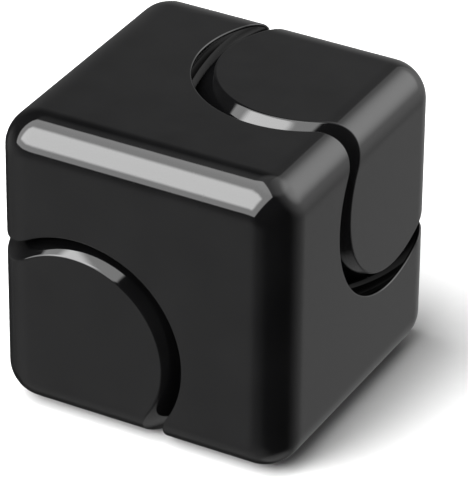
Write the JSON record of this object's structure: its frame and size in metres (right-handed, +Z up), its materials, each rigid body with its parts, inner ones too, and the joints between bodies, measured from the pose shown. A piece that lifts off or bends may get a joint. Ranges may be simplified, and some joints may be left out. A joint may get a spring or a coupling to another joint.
{
  "type": "cube hand spinner",
  "caption": "Rounded gloss black cube spinner: opposite corner caps turn together about the body diagonal, parted from the middle body by narrow round grooves.",
  "frame": {"origin": "centre of the bottom face, on the surface the cube stands on", "axes": "+Z up, faces square to X, Y and Z; the spin axis is the body diagonal from the corner at -X -Y -Z to the corner at +X +Y +Z"},
  "size_m": [0.026, 0.026, 0.026],
  "materials": {
    "black_gloss": "gloss",
    "bearing_steel": "satin",
    "ball_steel": "polished",
    "cage_nylon": "satin",
    "spacer_brass": "satin"
  },
  "bodies": {
    "spinner_body": {"middle_body": "black_gloss", "bearing_outer_ring": "bearing_steel", "upper_shield": "bearing_steel", "lower_shield": "bearing_steel", "upper_snap_wire": "bearing_steel", "lower_snap_wire": "bearing_steel"},
    "caps": {"upper_corner_cap": "black_gloss", "lower_corner_cap": "black_gloss", "spindle": "bearing_steel", "upper_spacer": "spacer_brass", "lower_spacer": "spacer_brass", "bearing_inner_ring": "bearing_steel"},
    "ball_cage": {"bearing_cage": "cage_nylon", "bearing_ball_01": "ball_steel", "bearing_ball_02": "ball_steel", "bearing_ball_03": "ball_steel", "bearing_ball_04": "ball_steel", "bearing_ball_05": "ball_steel", "bearing_ball_06": "ball_steel", "bearing_ball_07": "ball_steel", "bearing_ball_08": "ball_steel", "bearing_ball_09": "ball_steel", "bearing_ball_10": "ball_steel"}
  },
  "joints": [
    {"name": "caps_spin", "type": "hinge", "parent": "spinner_body", "child": "caps", "pos_m": [0, 0, 0.013], "axis": [0.5774, 0.5774, 0.5774], "continuous": true},
    {"name": "cage_spin", "type": "hinge", "parent": "spinner_body", "child": "ball_cage", "pos_m": [0, 0, 0.013], "axis": [0.5774, 0.5774, 0.5774], "continuous": true}
  ],
  "couplings": [
    {"joint": "cage_spin", "follows": "caps_spin", "ratio": 0.41667}
  ]
}
